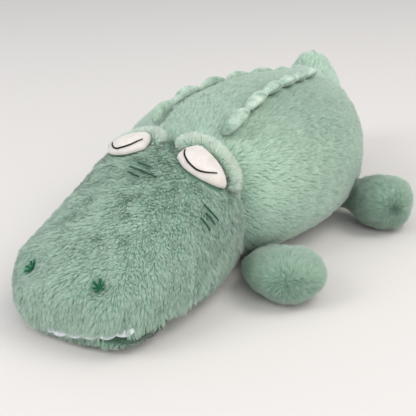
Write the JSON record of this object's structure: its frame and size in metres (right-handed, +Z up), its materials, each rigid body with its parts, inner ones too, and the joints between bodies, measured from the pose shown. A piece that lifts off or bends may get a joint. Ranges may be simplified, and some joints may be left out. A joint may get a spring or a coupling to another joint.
{
  "type": "plush crocodile",
  "caption": "Furry stuffed crocodile lying on its belly, with a broad flat snout, closed sleepy eyes, padded brows, back scutes, round paws and a short upturned tail.",
  "frame": {"origin": "centre of the bounding box on the floor under the belly", "axes": "+Y from snout to tail, +Z up, +X to the toy's own left side"},
  "size_m": [0.4228, 0.6698, 0.1769],
  "materials": {
    "fur_fabric": "matte",
    "scute_fabric": "matte",
    "polyester_filling": "matte",
    "white_felt": "matte",
    "white_fleece": "matte",
    "black_thread": "satin",
    "green_thread": "satin"
  },
  "bodies": {
    "torso": {"torso_skin": "fur_fabric", "torso_filling": "polyester_filling", "belly_closing_stitch": "green_thread", "left_scute_strip": "scute_fabric", "right_scute_strip": "scute_fabric"},
    "neck_seam": {"neck_seam_tape": "green_thread"},
    "head": {"head_skin": "fur_fabric", "head_filling": "polyester_filling", "upper_teeth": "white_felt", "left_eye": "white_fleece", "left_lash_line": "black_thread", "left_brow": "fur_fabric", "left_nostril_stitch": "green_thread", "right_eye": "white_fleece", "right_lash_line": "black_thread", "right_brow": "fur_fabric", "right_nostril_stitch": "green_thread", "left_cheek_stitch_1": "green_thread", "left_cheek_stitch_2": "green_thread", "left_cheek_stitch_3": "green_thread", "snout_bridge_stitch_1": "green_thread", "snout_bridge_stitch_2": "green_thread", "snout_bridge_stitch_3": "green_thread"},
    "lower_jaw": {"lower_jaw_skin": "fur_fabric", "lower_jaw_filling": "polyester_filling"},
    "tail": {"tail_skin": "fur_fabric", "tail_filling": "polyester_filling"},
    "front_left_leg": {"front_left_leg_skin": "fur_fabric", "front_left_leg_filling": "polyester_filling"},
    "front_right_leg": {"front_right_leg_skin": "fur_fabric", "front_right_leg_filling": "polyester_filling"},
    "hind_left_leg": {"hind_left_leg_skin": "fur_fabric", "hind_left_leg_filling": "polyester_filling"},
    "hind_right_leg": {"hind_right_leg_skin": "fur_fabric", "hind_right_leg_filling": "polyester_filling"}
  },
  "joints": [
    {"name": "neck_turn", "type": "hinge", "parent": "torso", "child": "neck_seam", "pos_m": [0, -0.119, 0.068], "axis": [0, 0, 1], "range_deg": [-3.5, 3.5], "stiffness_Nm_per_rad": 1.6},
    {"name": "neck_nod", "type": "hinge", "parent": "neck_seam", "child": "head", "pos_m": [0, -0.119, 0.068], "axis": [1, 0, 0], "range_deg": [-4, 4], "stiffness_Nm_per_rad": 2.5},
    {"name": "jaw_open", "type": "hinge", "parent": "head", "child": "lower_jaw", "pos_m": [0, -0.2255, 0.0106], "axis": [1, 0, 0], "range_deg": [0, 12], "stiffness_Nm_per_rad": 0.25},
    {"name": "tail_sway", "type": "hinge", "parent": "torso", "child": "tail", "pos_m": [0, 0.28762, 0.10248], "axis": [0, -0.7604, 0.6494], "range_deg": [-18, 18], "stiffness_Nm_per_rad": 0.35},
    {"name": "front_left_leg_swing", "type": "hinge", "parent": "torso", "child": "front_left_leg", "pos_m": [0.0995, -0.0855, 0.032], "axis": [0, 0, 1], "range_deg": [0, 25], "stiffness_Nm_per_rad": 0.12},
    {"name": "front_right_leg_swing", "type": "hinge", "parent": "torso", "child": "front_right_leg", "pos_m": [-0.0995, -0.0855, 0.032], "axis": [0, 0, 1], "range_deg": [0, 25], "stiffness_Nm_per_rad": 0.12},
    {"name": "hind_left_leg_swing", "type": "hinge", "parent": "torso", "child": "hind_left_leg", "pos_m": [0.126, 0.091, 0.032], "axis": [0, 0, 1], "range_deg": [-4, 20], "stiffness_Nm_per_rad": 0.12},
    {"name": "hind_right_leg_swing", "type": "hinge", "parent": "torso", "child": "hind_right_leg", "pos_m": [-0.126, 0.091, 0.032], "axis": [0, 0, 1], "range_deg": [-20, 4], "stiffness_Nm_per_rad": 0.12}
  ]
}
